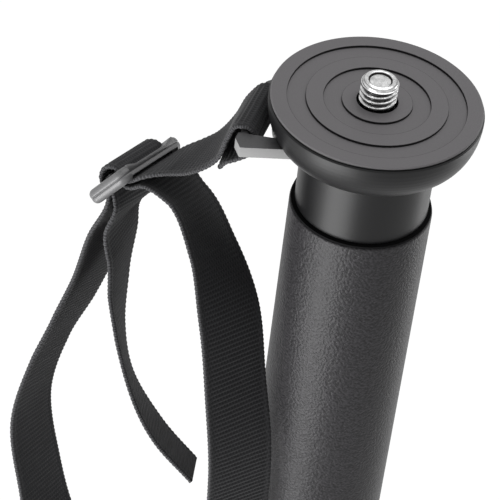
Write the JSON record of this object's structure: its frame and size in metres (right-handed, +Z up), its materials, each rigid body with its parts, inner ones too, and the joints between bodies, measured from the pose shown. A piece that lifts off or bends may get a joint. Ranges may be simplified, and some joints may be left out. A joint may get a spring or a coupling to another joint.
{
  "type": "camera monopod",
  "caption": "Camera monopod with a round grooved head and threaded stud, foam grip, webbing wrist strap on a side lug, and nested tubes held by flip locks.",
  "frame": {"origin": "middle of the camera seat, where the threaded stud's axis crosses the top face of the head", "axes": "+Z up along the leg, -X toward the strap lug, +Y away from the pictured side"},
  "size_m": [0.1135, 0.0618, 0.5036],
  "materials": {
    "plate_grey": "matte grey powder coat",
    "head_black": "satin black paint on cast aluminium",
    "bright_steel": "bright turned steel",
    "zinc_steel": "zinc-plated steel",
    "lug_black": "satin dark grey paint",
    "webbing": "black ribbed polyester webbing",
    "slider_plastic": "moulded plastic, soft sheen",
    "ring_rubber": "black rubber",
    "foam": "charcoal closed-cell foam, fine grain",
    "tube_anodised": "black anodised",
    "collar_plastic": "black moulded plastic",
    "lever_plastic": "black moulded plastic",
    "bush_plastic": "natural acetal",
    "foot_rubber": "black rubber"
  },
  "bodies": {
    "head": {"camera_plate": "plate_grey", "head_body": "head_black", "camera_stud": "bright_steel", "stud_lock_nut": "zinc_steel", "plate_screws": "zinc_steel", "strap_lug": "lug_black", "lug_screws": "zinc_steel", "neck_set_screw": "zinc_steel", "grip_top_ring": "ring_rubber", "foam_grip": "foam", "grip_end_ring": "collar_plastic", "upper_tube": "tube_anodised", "lock_collar_1": "collar_plastic", "guide_bush_1": "bush_plastic", "lever_pin_1": "bright_steel", "lock_bolt_1": "bright_steel", "lock_nut_1": "zinc_steel"},
    "leg_2": {"tube_2": "tube_anodised", "slide_bush_2": "bush_plastic", "lock_collar_2": "collar_plastic", "guide_bush_2": "bush_plastic", "lever_pin_2": "bright_steel", "lock_bolt_2": "bright_steel", "lock_nut_2": "zinc_steel"},
    "leg_3": {"tube_3": "tube_anodised", "slide_bush_3": "bush_plastic", "lock_collar_3": "collar_plastic", "guide_bush_3": "bush_plastic", "lever_pin_3": "bright_steel", "lock_bolt_3": "bright_steel", "lock_nut_3": "zinc_steel"},
    "leg_4": {"tube_4": "tube_anodised", "slide_bush_4": "bush_plastic", "foot_plug": "collar_plastic", "rubber_foot": "foot_rubber"},
    "lever_1": {"lock_lever_1": "lever_plastic"},
    "lever_2": {"lock_lever_2": "lever_plastic"},
    "lever_3": {"lock_lever_3": "lever_plastic"},
    "strap": {"wrist_strap": "webbing", "strap_slider": "slider_plastic"}
  },
  "joints": [
    {"name": "leg_2_slide", "type": "slide", "parent": "head", "child": "leg_2", "axis": [0, 0, -1], "range_m": [0, 0.32]},
    {"name": "leg_3_slide", "type": "slide", "parent": "leg_2", "child": "leg_3", "axis": [0, 0, -1], "range_m": [0, 0.35]},
    {"name": "leg_4_slide", "type": "slide", "parent": "leg_3", "child": "leg_4", "axis": [0, 0, -1], "range_m": [0, 0.385]},
    {"name": "lever_1_flip", "type": "hinge", "parent": "head", "child": "lever_1", "pos_m": [0.02135, 0.0115, -0.382], "axis": [0, 0, -1], "range_deg": [0, 105]},
    {"name": "lever_2_flip", "type": "hinge", "parent": "leg_2", "child": "lever_2", "pos_m": [0.01935, 0.0115, -0.4185], "axis": [0, 0, -1], "range_deg": [0, 105]},
    {"name": "lever_3_flip", "type": "hinge", "parent": "leg_3", "child": "lever_3", "pos_m": [0.01735, 0.0115, -0.455], "axis": [0, 0, -1], "range_deg": [0, 105]},
    {"name": "strap_swing", "type": "hinge", "parent": "head", "child": "strap", "pos_m": [-0.0292, 0, -0.01], "axis": [0.1807, 0.9835, 0], "range_deg": [0, 60]}
  ]
}
